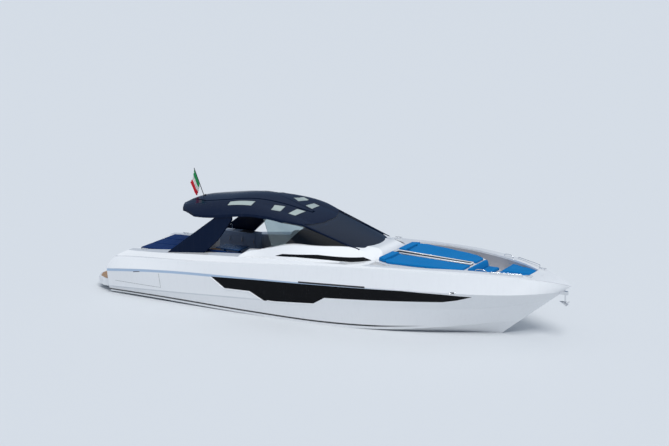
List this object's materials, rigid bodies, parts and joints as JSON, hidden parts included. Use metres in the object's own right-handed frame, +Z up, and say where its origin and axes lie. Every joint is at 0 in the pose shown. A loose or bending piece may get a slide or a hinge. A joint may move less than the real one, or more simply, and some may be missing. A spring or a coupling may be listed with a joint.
{
  "type": "open sports motor yacht",
  "caption": "Twenty-metre open sports yacht with a navy hardtop, dark hull glass, blue foredeck sunpads, twin propellers and rudders, a hinged stern lid, hatch and door.",
  "frame": {"origin": "on the waterline and the centreline, amidships between the bow's tip and the bathing platform's aft edge", "axes": "+X forward, +Y to port, +Z up"},
  "size_m": [20.698, 5.2438, 6.432],
  "materials": {
    "gelcoat": "glossy white",
    "dark_glass": "black, glossy",
    "screen_glass": "tinted, glossy",
    "navy_gloss": "glossy navy",
    "skylight": "pale, glossy",
    "teak": "bare, caulked",
    "blue_cover": "woven, bright blue",
    "navy_cover": "woven, navy",
    "stainless": "polished",
    "bronze": "cast and polished",
    "bottom_paint": "matt",
    "black_trim": "matt",
    "bar_grey": "satin",
    "table_blue": "glossy",
    "flag_cloth": "thin cloth"
  },
  "bodies": {
    "root": {"hull": "gelcoat", "deck_moulding": "gelcoat", "cowl": "gelcoat", "foredeck_trunk": "gelcoat", "swim_platform": "gelcoat", "cockpit_sofa_base": "gelcoat", "helm_seat_bases": "gelcoat", "wet_bar": "bar_grey", "helm_console": "bar_grey", "hull_glass_starboard": "dark_glass", "hull_glass_port": "dark_glass", "cowl_glass_starboard": "dark_glass", "cowl_glass_port": "dark_glass", "hardtop": "navy_gloss", "hardtop_panel": "navy_gloss", "skylights": "skylight", "hardtop_legs": "navy_gloss", "pillars": "navy_gloss", "windscreen": "screen_glass", "side_glass": "screen_glass", "teak_soles": "teak", "cockpit_sofa": "navy_cover", "helm_seats": "navy_cover", "cockpit_table": "table_blue", "foredeck_sunpad_port": "blue_cover", "foredeck_sunpad_starboard": "blue_cover", "bow_sofa": "blue_cover", "bow_pad": "blue_cover", "foredeck_skylight": "dark_glass", "cleats": "stainless", "bow_rails": "stainless", "anchor_roller": "stainless", "anchor": "stainless", "flag_staff": "black_trim", "flag": "flag_cloth", "shaft_brackets": "bronze"},
    "stern_lid": {"stern_lid": "gelcoat", "aft_sunpad": "navy_cover"},
    "anchor_hatch": {"anchor_hatch": "gelcoat"},
    "companionway_door": {"companionway_door": "dark_glass"},
    "steering_wheel": {"steering_wheel": "black_trim"},
    "rudder_port": {"rudder_port": "bronze"},
    "rudder_starboard": {"rudder_starboard": "bronze"},
    "propeller_port": {"propeller_port": "bronze", "shaft_port": "stainless"},
    "propeller_starboard": {"propeller_starboard": "bronze", "shaft_starboard": "stainless"}
  },
  "joints": [
    {"name": "stern_lid_hinge", "type": "hinge", "parent": "root", "child": "stern_lid", "pos_m": [-6.7123, 0, 1.778], "axis": [0, 1, 0], "range_deg": [0, 32]},
    {"name": "anchor_hatch_hinge", "type": "hinge", "parent": "root", "child": "anchor_hatch", "pos_m": [9.1603, 0, 2.4494], "axis": [0, -1, 0], "range_deg": [0, 75]},
    {"name": "companionway_hinge", "type": "hinge", "parent": "root", "child": "companionway_door", "pos_m": [1.085, 0.926, 2.25], "axis": [0, 0, -1], "range_deg": [0, 90]},
    {"name": "rudder_starboard_turn", "type": "hinge", "parent": "root", "child": "rudder_starboard", "pos_m": [-8.55, -0.95, -0.6], "axis": [0, 0, 1], "range_deg": [-35, 35]},
    {"name": "rudder_port_turn", "type": "hinge", "parent": "root", "child": "rudder_port", "pos_m": [-8.55, 0.95, -0.6], "axis": [0, 0, 1], "range_deg": [-35, 35]},
    {"name": "steering_wheel_turn", "type": "hinge", "parent": "root", "child": "steering_wheel", "pos_m": [1.022, -0.62, 2.788], "axis": [-0.7071, 0, 0.7071], "range_deg": [-540, 540]},
    {"name": "propeller_starboard_spin", "type": "hinge", "parent": "root", "child": "propeller_starboard", "pos_m": [-7.6, -0.95, -0.93], "axis": [0.9903, 0, 0.1392], "continuous": true},
    {"name": "propeller_port_spin", "type": "hinge", "parent": "root", "child": "propeller_port", "pos_m": [-7.6, 0.95, -0.93], "axis": [0.9903, 0, 0.1392], "continuous": true}
  ],
  "couplings": [
    {"joint": "rudder_port_turn", "follows": "rudder_starboard_turn", "ratio": 1},
    {"joint": "steering_wheel_turn", "follows": "rudder_starboard_turn", "ratio": -15.4}
  ]
}
